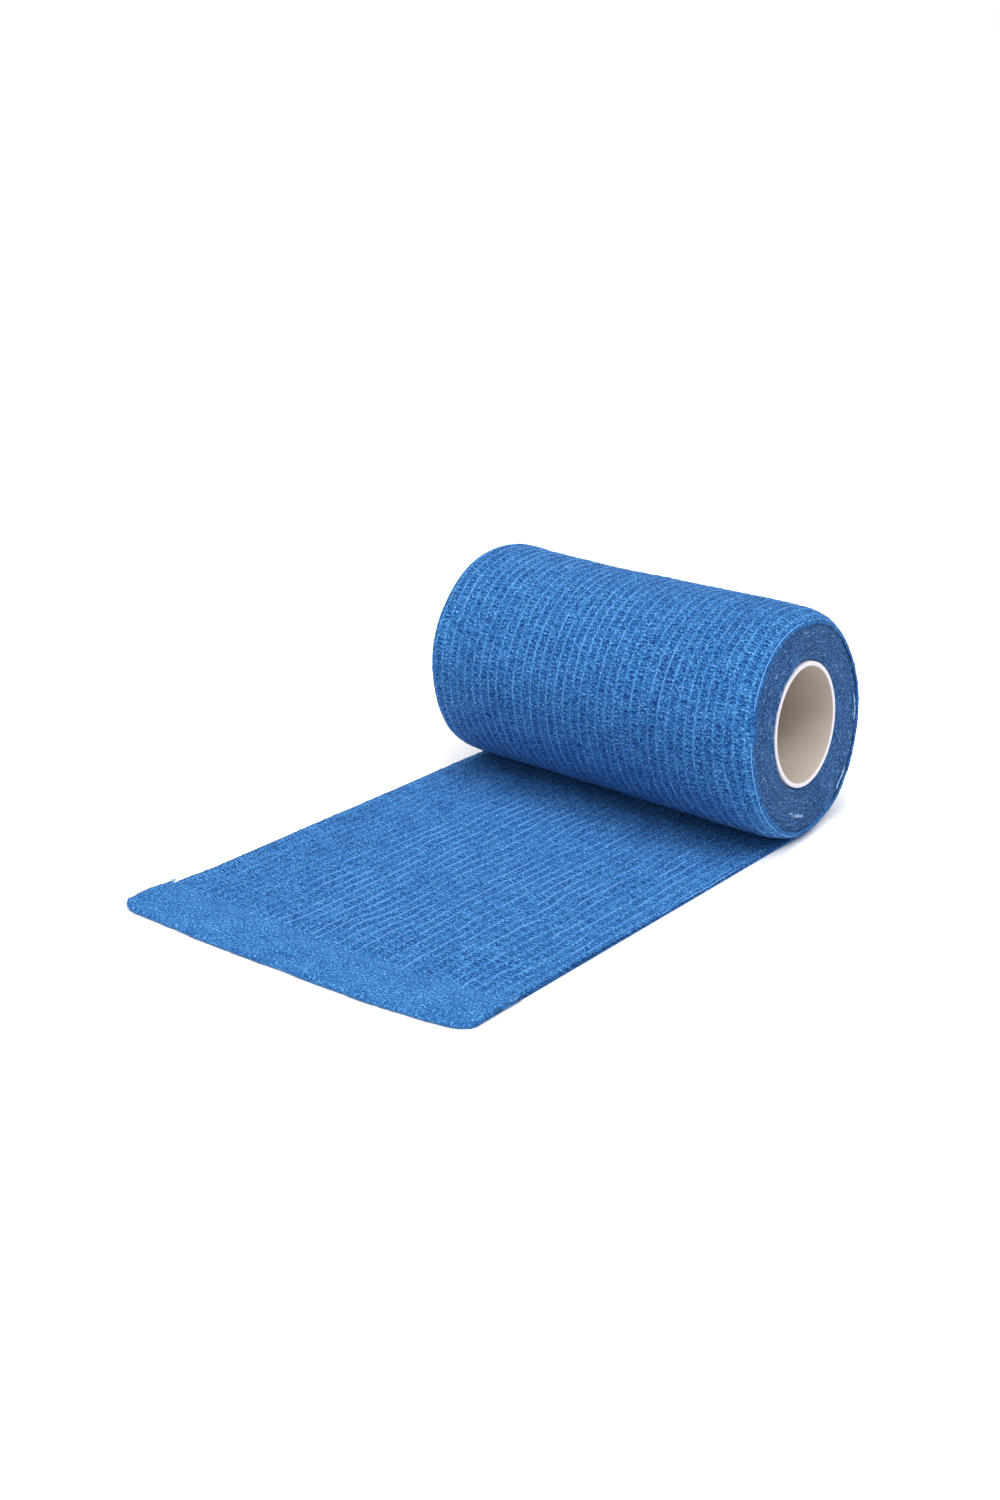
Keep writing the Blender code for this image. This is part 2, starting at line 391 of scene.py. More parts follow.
@dataclass
class RollForm:
    """The wound form's shape, in mm, as the frame has it."""

    wound_radius: float = 30.1
    cloth_step: float = 1.0
    core_lift: float = 0.9
    lean_start: float = 20.0
    lean_up: float = 0.086
    lean_back: float = 0.040
    lift_off_angle: float = radians(38)
    half_width: float = 50.0
    waviness: float = 0.10
    rim_waviness: float = 0.22
    flat_angle: float = radians(82)
    flat_spread: float = radians(26)
    flat_share: float = 0.22
    sections: Sequence[RollSection] = (
        RollSection(-50.0, -0.4, -0.6),
        RollSection(-49.2, 0.1, -0.6),
        RollSection(-47.0, 0.3, -0.5),
        RollSection(-38.0, 0.1, -0.2),
        RollSection(-15.0, -0.1, 0.0),
        RollSection(15.0, 0.1, 0.0),
        RollSection(34.0, 0.3, 0.0),
        RollSection(41.0, 0.2, 0.0),
        RollSection(45.0, 0.0, 0.0),
        RollSection(47.8, -0.6, 0.1),
        RollSection(49.3, -1.2, 0.2),
        RollSection(50.0, -2.0, 0.3),
    )
    sways: Sequence[EdgeSway] = (
        EdgeSway(0, 0.0),
        EdgeSway(60, 0.3),
        EdgeSway(100, 0.4),
        EdgeSway(140, 0.0),
        EdgeSway(180, -0.6),
        EdgeSway(215, -1.2),
        EdgeSway(250, -0.7),
        EdgeSway(290, 0.1),
        EdgeSway(320, 0.3),
        EdgeSway(380, 0.0),
    )
    core_radius: float = field(init=False)
    core_half_length: float = field(init=False)
    core_height: float = field(init=False)
    axis_height: float = field(init=False)
    places: Array = field(init=False)
    swells: Array = field(init=False)
    sags: Array = field(init=False)
    angles: Array = field(init=False)
    shifts: Array = field(init=False)

    def __post_init__(self) -> None:
        """Take the places from the frame, and smooth the sections into curves."""
        low, high = box_mm("core_tube")
        self.core_radius = (high[2] - low[2]) / 2
        self.core_half_length = -low[0]
        self.core_height = (high[2] + low[2]) / 2
        self.axis_height = self.core_height - self.core_lift
        # The sections are read every 0.1 mm along the roll, the sways at every degree round it.
        self.places = np.linspace(-53, 53, 1061)
        rows = np.array(self.sections)
        self.swells, self.sags = (
            smoothed(np.interp(self.places, rows[:, 0], rows[:, column]), 11) for column in (1, 2)
        )
        turns = np.array(self.sways)
        self.angles = np.radians(np.arange(0.0, 381.0, 1.0))
        self.shifts = smoothed(np.interp(np.degrees(self.angles), turns[:, 0], turns[:, 1]), 41)

    def swell(self, along: Array) -> Array:
        """How far the wound form stands out at each place along the roll."""
        return np.interp(along, self.places, self.swells)

    def sag(self, along: Array) -> Array:
        """How far the wound form's centre hangs at each place along the roll."""
        return np.interp(along, self.places, self.sags)

    def sway(self, angle: Array) -> Array:
        """How far the cloth has slid along the roll at each angle."""
        return np.interp(angle, self.angles, self.shifts)

    def leant(self, points: Array, amount: Array | float = 1.0) -> Array:
        """Points shifted along the roll where its near end face leans back.

        Args:
            points: places on the roll, in mm.
            amount: share of the lean that each place takes.

        Returns:
            The shifted places.
        """
        along, back, height = np.moveaxis(points, -1, 0)
        share = amount * ease((along - self.lean_start) / (self.half_width - self.lean_start))
        shift = self.lean_up * (height - self.axis_height) + self.lean_back * back
        return stacked(along - share * shift, back, height)

    def radius(self, along: Array, angle: Array) -> Array:
        """The outermost turn's outer radius, with its unevenness round the rims.

        Args:
            along: place along the roll.
            angle: angle from straight down, up the back and over the top.

        Returns:
            The radius at each place, in mm.
        """
        settled = ease(angle / self.lift_off_angle)
        wave = 0.6 * np.sin(3 * angle + 0.7) + 0.4 * np.sin(7 * angle + 2.1)
        near_rim = ease((np.abs(along) - 40) / 10)
        full_back = 1 - self.flat_share * np.exp(-(((angle - self.flat_angle) / self.flat_spread) ** 2))
        radius = self.wound_radius - self.cloth_step * angle / (2 * pi)
        radius = radius + self.swell(along) * settled * full_back
        size = self.waviness + self.rim_waviness * near_rim
        return radius + size * wave * np.sin(np.clip(angle / 2, 0, pi))

    def wrap_points(self, along: Array, angle: Array, outward: Array, lowest: Array | float) -> Array:
        """Places on the outermost turn.

        Args:
            along: place across the cloth, before it slid.
            angle: angle from straight down, up the back and over the top.
            outward: distance out from the turn's outer face.
            lowest: height that the first stretch may not go below.

        Returns:
            An array of points, in mm.
        """
        settled = ease(angle / self.lift_off_angle)
        radius = self.radius(along, angle) + outward
        height = self.axis_height - self.sag(along) * settled - radius * np.cos(angle)
        height = np.maximum(height, lowest)
        return self.leant(stacked(along + self.sway(angle), radius * np.sin(angle), height), settled)


def smoothed(values: Array, width: int) -> Array:
    """Round the corners off a row of values, over an odd number of places."""
    kernel = np.hanning(width + 2)[1:-1]
    return np.convolve(np.pad(values, width // 2, "edge"), kernel / kernel.sum(), "valid")


class ClothSurface(NamedTuple):
    """The crepe's face at a set of places: height in mm, tone from 0 to 1."""

    height: Array
    tone: Array


@dataclass
class CrepeRelief:
    """The crepe's surface: ridges over its threads and short gathers between them."""

    half_width: float
    thread_pitch: float = 2.7
    cells_per_thread: int = 5
    gather_length: float = 1.5
    gather_width: float = 0.36
    ridge: float = 0.10
    gather: float = 0.10
    fluff: float = 0.06
    billow: float = 0.10

    def __post_init__(self) -> None:
        """Draw the noises, one for each part of the pattern."""
        names = "wander ripple phase jitter mottle grain swell show patch amount".split()
        self.noise = {name: LatticeNoise(seed) for seed, name in enumerate(names, start=11)}

    def columns(self) -> Array:
        """Places across the cloth for a mesh's columns: every thread lies on one."""
        cell = self.thread_pitch / self.cells_per_thread
        count = int((self.half_width - 0.2) / cell)
        inner = np.arange(-count, count + 1) * cell
        return np.concatenate([[-self.half_width], inner, [self.half_width]])

    def slack(self, out: Array) -> Array:
        """From 0 on the tight roll to 1 on the loose end."""
        return ease((out + 4) / 26)

    def wander(self, across: Array, out: Array) -> Array:
        """Sideways drift of the threads, more on the loose end than on the tight roll.

        Args:
            across: true place across the cloth.
            out: place along the cloth.

        Returns:
            The drift at each place, in mm.
        """
        slow = self.noise["wander"](across / 15 + 40, out / 11 + 60)
        quick = self.noise["ripple"](across / 5 + 40, out / 4 + 60)
        inner = ease((self.half_width - np.abs(across)) / 4)
        return (0.35 + 0.60 * self.slack(out)) * inner * (0.95 * slow + 0.24 * quick)

    def across(self, thread_place: Array, out: Array) -> Array:
        """True place across the cloth of a place counted in straight threads.

        Args:
            thread_place: place as it would be if the threads ran straight.
            out: place along the cloth.

        Returns:
            The place across the cloth, in mm.
        """
        start, out = np.broadcast_arrays(np.asarray(thread_place, float), np.asarray(out, float))
        across = start
        for _ in range(4):
            across = start - self.wander(across, out)
        return across

    def showing(self, place: Array, out: Array) -> Array:
        """How plainly the thread nearest to each place shows.

        Args:
            place: place across the cloth, counted in straight threads.
            out: place along the cloth.

        Returns:
            From 0, hidden in the crepe, to 1, in plain view.
        """
        number = np.round(place / self.thread_pitch)
        own = self.noise["show"](number * 3.7 + 20, out / 6 + 50)
        patch = self.noise["patch"](place / 22 + 40, out / 16 + 60)
        return ease(0.46 + 0.75 * own + 0.55 * patch)

    def presence(self, place: Array, out: Array) -> Array:
        """How far the threads stand out: less near the roll and on the loose end's far side."""
        on_tail = ease((out - 14) / 22) * (1 - 0.65 * ease((-place - 8) / 32))
        return np.where(out > 0, 0.15 + 0.85 * on_tail, 0.8)

    def surface(self, place: Array, out: Array) -> ClothSurface:
        """Height and tone of the threaded face.

        Args:
            place: place across the cloth, counted in straight threads, in mm.
            out: place along the cloth, outwards from under the roll.

        Returns:
            The face, its height counted from its mean.
        """
        turns = place / self.thread_pitch
        gap = np.floor(turns)
        share = turns - gap
        off = np.minimum(share, 1 - share) * self.thread_pitch
        ridge = np.exp(-((off / 0.34) ** 2)) * self.presence(place, out)
        slack = self.slack(out)
        # Each gather is a short trough with painted shade in it, bowed and a little off its place.
        shift = self.noise["phase"](gap * 5.3 + 30, out / 60 + 9)
        jitter = self.noise["jitter"](gap * 2.9 + 30, out / 2.3 + 50)
        bow = 0.9 * (share - 0.5) ** 2 * np.sign(np.sin(gap * 12.9)) + 0.35 * (share - 0.5) * shift
        beat = out / self.gather_length + 1.7 * shift + (0.30 + 0.35 * slack) * jitter + bow
        number = np.round(beat)
        depth = self.noise["amount"](gap * 4.1 + 30, number * 0.8 + 70)
        patch = self.noise["patch"](place / 9 + 10, out / 7 + 20)
        amount = np.clip(0.72 + 0.55 * depth + 0.45 * patch, 0, 1.2) * (1 - 0.30 * slack)
        trough = np.exp(-(((beat - number) * self.gather_length / self.gather_width) ** 2))
        trough = trough * ease((off - 0.12) / 0.55) * amount
        tuft = self.noise["mottle"](place / 1.5 + 40, out / 1.3 + 60)
        grain = self.noise["grain"](place / 0.8 + 70, out / 0.8 + 90)
        fine = self.ridge * ridge - self.gather * trough + self.fluff * (grain + 0.7 * tuft)
        slow = self.billow * self.noise["swell"](place / 13 + 40, out / 10 + 60)
        # Tone: painted light on the ridges and painted shade in the troughs, over random tufts and
        # grain.
        tone = 0.58 + 0.20 * ridge - 0.16 * trough + 0.16 * tuft + 0.10 * grain
        return ClothSurface(fine + slow + 0.06, np.clip(tone, 0, 1))

    def reverse(self, place: Array, out: Array) -> ClothSurface:
        """Height and tone of the plain reverse, felted and slightly lumpy.

        Args:
            place: place across the cloth.
            out: place along the cloth.

        Returns:
            The face, its height counted from its mean.
        """
        grain = self.noise["grain"](place / 0.8 + 15, out / 0.8 + 25)
        tuft = self.noise["mottle"](place / 1.4 + 60, out / 1.2 + 20)
        lump = self.noise["swell"](place / 6 + 20, out / 5 + 30)
        tone = 0.55 + 0.13 * grain + 0.13 * tuft + 0.05 * lump
        return ClothSurface(0.06 * grain + 0.06 * tuft + 0.14 * lump, np.clip(tone, 0, 1))


# Making meshes


@dataclass
class SurfaceGrid:
    """Rows of points that make one closed strip of cloth, with what each point carries."""

    points: list[Array] = field(default_factory=list)
    cloth: list[Array] = field(default_factory=list)
    tone: list[Array] = field(default_factory=list)
    weave: list[Array] = field(default_factory=list)

    def add(
        self,
        points: Array,
        across: Array | float,
        out: Array | float,
        tone: Array | float,
        weave: Array | float = 0.0,
    ) -> None:
        """Add rows.

        Args:
            points: places, rows by columns by three, in mm.
            across: the cloth's first coordinate at each, in mm.
            out: the cloth's second coordinate, in mm.
            tone: from 0, dark, to 1, pale; sunk places get painted shade, proud ones painted light.
            weave: from 0, felted, to 1, where the threads gather the cloth.
        """
        shape = points.shape[:2]
        flat = stacked(across, out)
        self.points.append(points)
        self.cloth.append(np.broadcast_to(flat, (*shape, 2)))
        self.tone.append(np.broadcast_to(tone, shape))
        self.weave.append(np.broadcast_to(weave, shape))

    def make(self, name: str, material: bpy.types.Material, ring: bool) -> bpy.types.Object:
        """Build the object: rows join end to end, and each row is a ring or is capped.

        Args:
            name: the object's name.
            material: its finish.
            ring: True if the last column meets the first.

        Returns:
            The object, at the world's origin.
        """
        points = np.concatenate(self.points)
        count, columns = points.shape[:2]
        index = np.arange(count * columns).reshape(count, columns)
        lower, upper = index, np.roll(index, -1, axis=0)
        if not ring:
            lower, upper = lower[:, :-1], upper[:, :-1]
            right, far = index[:, 1:], np.roll(index, -1, axis=0)[:, 1:]
        else:
            right, far = np.roll(index, -1, axis=1), np.roll(np.roll(index, -1, axis=0), -1, axis=1)
        faces = np.stack([lower, right, far, upper], -1).reshape(-1, 4).tolist()
        if not ring:
            faces += [index[:, 0].tolist(), index[::-1, -1].tolist()]
        mesh = bpy.data.meshes.new(name)
        mesh.from_pydata((points.reshape(-1, 3) * MM).tolist(), [], faces)
        corner = np.empty(len(mesh.loops), np.int32)
        mesh.loops.foreach_get("vertex_index", corner)
        flat = np.concatenate(self.cloth).reshape(-1, 2) * MM
        mesh.uv_layers.new(name="cloth").data.foreach_set("uv", flat[corner].ravel())
        # The relief attribute carries the tone, with its painted light and painted shade.
        for label, rows in (("relief", self.tone), ("weave", self.weave)):
            layer = mesh.attributes.new(label, "FLOAT", "POINT")
            layer.data.foreach_set("value", np.concatenate(rows).ravel())
        mesh.materials.append(material)
        obj = bpy.data.objects.new(name, mesh)
        bpy.context.collection.objects.link(obj)
        return finish_surface(obj)


def finish_surface(obj: bpy.types.Object) -> bpy.types.Object:
    """Turn all faces outwards and shade them smooth.

    Args:
        obj: the object to finish.

    Returns:
        The same object.
    """
    select_only(obj)
    bpy.ops.object.mode_set(mode="EDIT")
    bpy.ops.mesh.select_all(action="SELECT")
    bpy.ops.mesh.normals_make_consistent(inside=False)
    bpy.ops.object.mode_set(mode="OBJECT")
    bpy.ops.object.shade_smooth_by_angle(angle=radians(60))
    return obj


def make_strands(
    name: str, lines: Sequence[Array], thickness: Sequence[float], material: bpy.types.Material
) -> bpy.types.Object:
    """Make strands as one mesh, from curves with a round bevel.

    Args:
        name: the object's name.
        lines: the points along each strand, in mm.
        thickness: each strand's diameter, in mm.
        material: the finish.

    Returns:
        The joined mesh, at the world's origin.
    """
    curve = bpy.data.curves.new(name, "CURVE")
    curve.dimensions = "3D"
    curve.bevel_depth = 0.5 * MM
    curve.bevel_resolution = 0  # four sides are enough for so thin a strand
    curve.use_fill_caps = True
    for line, width in zip(lines, thickness):
        spline = curve.splines.new("POLY")
        spline.points.add(len(line) - 1)
        spline.points.foreach_set("co", np.c_[line * MM, np.ones(len(line))].ravel())
        taper = np.full(len(line), float(width))
        taper[[0, -1]] *= 0.35
        spline.points.foreach_set("radius", taper)
    obj = bpy.data.objects.new(name, curve)
    bpy.context.collection.objects.link(obj)
    select_only(obj)
    bpy.ops.object.convert(target="MESH")
    obj.data.materials.clear()
    obj.data.materials.append(material)
    bpy.ops.object.shade_smooth()
    return obj


def settle(obj: bpy.types.Object, slot: str, *nodes: str) -> bpy.types.Object:
    """Ride a piece on the body, hide the CAD nodes that it stands for, and report it.

    Args:
        obj: the piece.
        slot: the record's material slot; not used.
        *nodes: CAD nodes that it stands for.

    Returns:
        The piece.
    """
    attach(obj, BODY)
    if nodes:
        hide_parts(*nodes)
    triangles = sum(len(face.vertices) - 2 for face in obj.data.polygons)
    LOG.info("%s: %d triangles", obj.name, triangles)
    return obj


# The pieces


@dataclass
class CoreTube:
    """The plastic tube that the bandage is wound on."""

    form: RollForm
    wall: float = 1.2
    rim_round: float = 0.35
    segments: int = 160
    bore_share: float = 0.98
    finish: CorePlasticFinish = CorePlasticFinish()
    # The bore's warmer tint is its own; its darker colour is painted shade inside the tube.
    bore_shaded_finish: CorePlasticFinish = CorePlasticFinish(
        name="extruded_polypropylene_bore_shaded", colour="#C2B5AB", dull="#B3A79D", roughness=0.6
    )

    def build(self) -> bpy.types.Object:
        """Model the tube from a cylinder, a wall and rounded rims."""
        deselect_all()
        bpy.ops.mesh.primitive_cylinder_add(
            vertices=self.segments,
            radius=self.form.core_radius * MM,
            depth=2 * self.form.core_half_length * MM,
            end_fill_type="NOTHING",
            location=(0, 0, self.form.core_height * MM),
            rotation=(0, radians(90), 0),
        )
        tube = bpy.context.object
        tube.name = "core_tube_moulded"
        bpy.ops.object.transform_apply(location=True, rotation=True, scale=True)
        wall = tube.modifiers.new("wall", "SOLIDIFY")
        wall.thickness, wall.offset = self.wall * MM, -1
        bpy.ops.object.modifier_apply(modifier=wall.name)
        rims = tube.modifiers.new("rims", "BEVEL")
        rims.width, rims.segments, rims.limit_method = self.rim_round * MM, 4, "ANGLE"
        bpy.ops.object.modifier_apply(modifier=rims.name)
        places = np.array([vertex.co[:] for vertex in tube.data.vertices]) / MM
        tube.data.vertices.foreach_set("co", (self.form.leant(places) * MM).ravel())
        tube.data.update()
        bpy.ops.object.shade_smooth_by_angle(angle=radians(50))
        return tube

    def dress(self) -> bpy.types.Object:
        """Build the tube and give its rims their finish and its bore a darker one with painted shade.
        """
        tube = self.build()
        tube.data.materials.append(self.finish.make())
        tube.data.materials.append(self.bore_shaded_finish.make())
        middle = Vector((0, 0, self.form.core_height * MM))
        limit = (self.form.core_radius - self.bore_share * self.wall) * MM
        # Faces in the bore take the darker material with its painted shade.
        for face in tube.data.polygons:
            away = face.center - middle
            if Vector((away.y, away.z)).length < limit:
                face.material_index = 1
        return settle(tube, CORE_SLOT, "core_tube")


@dataclass
class WoundTurns:
    """All the turns under the outermost one, whose cut edges make the roll's end faces."""

    form: RollForm
    finish: bpy.types.Material
    bore_gap: float = 0.2
    cover: float = 0.82
    edge_pitch: float = 0.55
    edge_height: float = 0.16
    face_rows: int = 98
    columns: int = 420
    start_angle: float = radians(20)
    cloth_per_radian: float = 23.0
    face_offset: float = 40.0
    lowest: float = 1.2

    def __post_init__(self) -> None:
        """Draw the noises that make the cut edges uneven."""
        self.crimp = LatticeNoise(31)
        self.lay = LatticeNoise(32)
        self.fuzz = LatticeNoise(33)

    def add_face(self, grid: SurfaceGrid, side: int, angle: Array) -> None:
        """Add the rows of one end face.

        Args:
            grid: the mesh being made.
            side: 1 for the end at +X, from the bore out; -1 for the other, from outside in.
            angle: angles round the roll, one for each column.
        """
        form = self.form
        bore = form.core_radius + self.bore_gap
        wrapped = np.where(angle > 2 * pi, angle - 2 * pi, angle)
        settled = np.maximum(wrapped, form.lift_off_angle)
        outer = form.radius(side * form.half_width, settled) - self.cover
        share = np.linspace(0, 1, self.face_rows)[::side, None]
        lift = form.core_height - form.axis_height
        drop = form.sag(side * form.half_width) * share - lift * (1 - share)
        radius = bore + (outer - bore) * share
        turn = (radius - bore) / self.edge_pitch - angle / (2 * pi)
        number = np.floor(turn)
        crest = np.sin(pi * (turn - number)) ** 0.7
        arc = angle * radius
        crimp = self.crimp(number * 3.3 + 40, arc / 1.1)
        lay = self.lay(number * 1.7 + 10, arc / 9.0)
        fuzz = self.fuzz(arc / 0.6, radius / 0.45)
        fine = self.edge_height * crest * (0.35 + 0.65 * crimp) + 0.16 * fuzz
        slow = 0.16 * lay + 0.30 * self.lay(radius / 4 + 70, angle * 1.2 + 90)
        ends = ease(share * 14) * ease((1 - share) * 10)
        inset = 0.35 + 0.7 * (1 - ease(share * 14)) + 0.10 * (1 - ease((1 - share) * 12))
        depth = side * (form.half_width - inset + (fine + slow) * ends) + form.sway(wrapped) * share**3
        height = form.axis_height - drop - radius * np.cos(angle)
        points = form.leant(stacked(depth, radius * np.sin(angle), height))
        tone = 0.52 + 0.5 * fine - 0.06 * crest + 0.22 * self.fuzz(radius / 1.3, arc / 1.5)
        across = radius + self.face_offset * side
        grid.add(points, across, angle * self.cloth_per_radian, np.clip(tone, 0, 1))

    def build(self) -> bpy.types.Object:
        """Model the turns as one closed ring: end face, outside, end face, bore."""
        form = self.form
        angle = self.start_angle + np.linspace(0, 2 * pi, self.columns + 1)[:-1]
        out = angle * self.cloth_per_radian
        grid = SurfaceGrid()
        self.add_face(grid, 1, angle)
        for along in np.linspace(0.96, -0.96, 25) * form.half_width:
            row = form.wrap_points(along, angle[None, :], -self.cover, self.lowest)
            grid.add(row, along, out, 0.3)
        self.add_face(grid, -1, angle)
        bore = form.core_radius + self.bore_gap
        for along in (-0.6, 0.6):
            height = form.core_height - bore * np.cos(angle)
            row = stacked(along * form.half_width, bore * np.sin(angle), height)
            grid.add(row[None], along, out, 0.3)
        return grid.make("wound_turns", self.finish, ring=True)

    def dress(self) -> bpy.types.Object:
        """Build the turns and stand them in the wound form's space."""
        return settle(self.build(), CLOTH_SLOT, "bandage_roll")


@dataclass
class OuterTurn:
    """The outermost turn, from under the roll up its back, over and down to the crease."""

    form: RollForm
    relief: CrepeRelief
    finish: bpy.types.Material
    thickness: float = 0.8
    first_angle: float = radians(2)
    fine_angle: float = radians(25)
    crease_angle: float = radians(354)
    last_angle: float = radians(379)
    coarse_rows: int = 16
    fine_rows: int = 445
    hidden_rows: int = 8
    inner_rows: int = 24
    raggedness: float = 0.22
    edge_tone: float = 0.35
    settle_angle: float = radians(8)
    tail_cover: float = 1.05

    def ragged(self, place: Array, angle: Array) -> Array:
        """Places across the cloth, drawn in or out a little at its cut edges.

        Args:
            place: place across the cloth.
            angle: angle round the roll.

        Returns:
            The places, changed over the last 1.2 mm only.
        """
        rag = self.relief.noise["grain"](np.sign(place) * 20 + 50, angle * 30 / 0.8)
        at_edge = ease((np.abs(place) - self.form.half_width + 1.2) / 1.2)
        return place + self.raggedness * rag * at_edge

    def build(self) -> bpy.types.Object:
        """Model the turn as one closed strip: fine outside, plain inside."""
        form, relief = self.form, self.relief
        grid = SurfaceGrid()
        angle = np.concatenate(
            [
                np.linspace(self.first_angle, self.fine_angle, self.coarse_rows + 1)[:-1],
                np.linspace(self.fine_angle, self.crease_angle, self.fine_rows),
                np.linspace(self.crease_angle, self.last_angle, self.hidden_rows + 1)[1:],
            ]
        )[:, None]
        place, out = np.broadcast_arrays(relief.columns()[None, :], -form.wound_radius * angle)
        face = relief.surface(place, out)
        quiet = ease((angle - self.first_angle) / self.settle_angle)
        under = np.where(angle > pi, self.tail_cover, 0.0)
        along = self.ragged(relief.across(place, out), angle)
        cut = ease((np.abs(place) - form.half_width + 0.5) / 0.4)
        tone = face.tone + (self.edge_tone - face.tone) * cut
        grid.add(form.wrap_points(along, angle, face.height * quiet, under), place, out, tone, 1 - cut)
        inner = np.linspace(self.last_angle, self.first_angle, self.inner_rows)[:, None]
        place, out = np.broadcast_arrays(relief.columns()[None, :], -form.wound_radius * inner)
        under = np.where(inner > pi, self.tail_cover + self.thickness, self.thickness)
        points = form.wrap_points(self.ragged(place, inner), inner, -self.thickness, under)
        grid.add(points, place, out, self.edge_tone)
        return grid.make("outer_turn", self.finish, ring=False)

    def dress(self) -> bpy.types.Object:
        turn = settle(self.build(), CLOTH_SLOT, "bandage_roll")
        return turn


class TipWave(NamedTuple):
    """How far the folded tip stands out or in at one place across the width, in mm."""

    share: float
    out: float


@dataclass
class LooseEnd:
    """The loose end, laid out flat, its tip doubled back over itself."""

    form: RollForm
    relief: CrepeRelief
    finish: bpy.types.Material
    thickness: float = 0.75
    layer_gap: float = 0.12
    fold_depth: float = 14.0
    reach: float = 136.0
    skew: float = 3.4
    drift: float = 4.3
    offset: float = 0.4
    taper: float = 0.2
    bow: float = 0.9
    corner_radius: float = 6.0
    corner_setback: float = 2.6
    flare: float = 0.7
    ear: float = 0.8
    corner_puff: float = 0.35
    edge_rag: float = 0.18
    start: float = -0.9
    rows: int = 340
    flap_rows: int = 38
    bend_rows: int = 9
    waves: Sequence[TipWave] = (
        TipWave(-1.0, 0.0),
        TipWave(-0.70, -0.45),
        TipWave(-0.40, 0.0),
        TipWave(-0.05, -0.45),
        TipWave(0.25, 0.0),
        TipWave(0.50, 0.35),
        TipWave(0.75, 0.0),
        TipWave(0.90, -0.5),
        TipWave(1.0, -0.9),
    )

    def __post_init__(self) -> None:
        """Take the columns from the relief, so that they follow the threads."""
        self.columns = self.relief.columns()
        self.share = self.columns / self.form.half_width
        self.tip = self.front_edge(self.share)

    def front_edge(self, share: Array) -> Array:
        """Distance from the roll's axis to the folded tip, across the width.

        Args:
            share: place across the width, from -1 to 1.

        Returns:
            The distance at each place, in mm.
        """
        from_side = (1 - np.abs(share)) * self.form.half_width
        inset = np.clip(1 - from_side / self.corner_radius, 0, 1)
        setback = self.corner_setback * (1 - np.sqrt(1 - inset**2))
        rows, places = np.array(self.waves), np.linspace(-1, 1, 201)
        slow = smoothed(np.interp(places, rows[:, 0], rows[:, 1]), 21)
        wave = np.interp(share, places, slow)
        wave = wave + 0.16 * self.relief.noise["swell"](share * 16 + 30, 12.5)
        wave = wave + 0.10 * self.relief.noise["grain"](share * 50 + 60, 12.5)
        return self.reach - self.skew * share + self.bow * (1 - 2 * share**2) - setback + wave

    def at_edge(self, share: Array) -> Array:
        """From 0 over the cloth to 1 at its very edge."""
        return ease((np.abs(share) - 0.975) / 0.025)

    def place(self, place: Array, out: Array, height: Array, stray: Array | float = 0.0) -> Array:
        """Points of the loose end.

        Args:
            place: place across the cloth.
            out: distance out from the roll's axis, rows by columns.
            height: height above the surface.
            stray: how far a point at the very edge stands out sideways.

        Returns:
            Points in mm, rows by columns by three.
        """
        share = place / self.form.half_width
        far = np.maximum(out, 0) / self.reach
        flare = self.flare * ease((out - self.reach + 2 * self.fold_depth) / self.fold_depth)
        flare = flare - self.taper * far - 0.45 * ease((share + 0.2) / 1.2) * ease((far - 0.45) / 0.3)
        rag = self.relief.noise["grain"](np.sign(share) * 20 + 50, -out / 0.8)
        along = place + share * (flare + (self.edge_rag * rag + stray) * self.at_edge(share))
        return stacked(along + self.offset - self.drift * far, -out, height)

    def build(self) -> bpy.types.Object:
        """Model the loose end as one closed strip round its upper and under sides."""
        relief, grid = self.relief, SurfaceGrid()
        across = self.columns[None, :]
        double = 2 * self.thickness + self.layer_gap
        bend = self.tip - double / 2
        cut = bend - self.fold_depth + 0.5 * relief.noise["ripple"](self.share * 14 + 40, 5.0)
        cut = cut + 0.30 * relief.noise["grain"](self.share * 50 + 70, 3.0)
        thin_edge = 0.30 * self.at_edge(self.share)[None, :]
        puff = self.corner_puff * ease((-self.share - 0.90) / 0.08)[None, :]

        # Under side, from the roll to the bend.
        share = np.linspace(0, 1, 6)[:, None]
        out = self.start + (bend - self.start) * share
        grid.add(self.place(across, out, np.zeros_like(out)), across, out, 0.4)

        # Round the tip, and back over the top to the cut edge.
        turn = np.linspace(0, pi, self.bend_rows + 2)[1:-1, None]
        out = bend + double / 2 * np.sin(turn)
        face = relief.reverse(across, out + turn)
        level = double / 2 * (1 - np.cos(turn)) + (face.height + puff) * ease(turn / 2.4)
        grid.add(self.place(across, out, level), across, out + turn, face.tone)
        share = np.linspace(0, 1, self.flap_rows)[:, None]
        out = bend + (cut - bend) * share
        face = relief.reverse(across, out)
        thinning = ease((share - 0.72) / 0.28)
        bulge = 0.25 * np.sin(pi * np.clip(share / 0.8, 0, 1)) + puff
        level = double - 0.62 * thinning + (face.height + bulge) * (1 - 0.5 * thinning)
        ears = self.ear * np.exp(-(((1 - share) * self.fold_depth / 1.5) ** 2)) + puff
        grid.add(self.place(across, out, level - thin_edge, ears), across, out, face.tone)

        # Under the flap, into the bend and back out along the upper side of the lower layer.
        share = np.array([0.0, 0.5, 1.0])[:, None]
        out = cut + 0.15 + (bend - cut - 0.15) * share
        level = np.full_like(out, self.thickness + self.layer_gap)
        grid.add(self.place(across, out, level, 0.5 * ears[-1]), across, out, 0.2)
        out = bend + (cut - bend) * share
        grid.add(self.place(across, out, np.full_like(out, self.thickness)), across, out, 0.2)

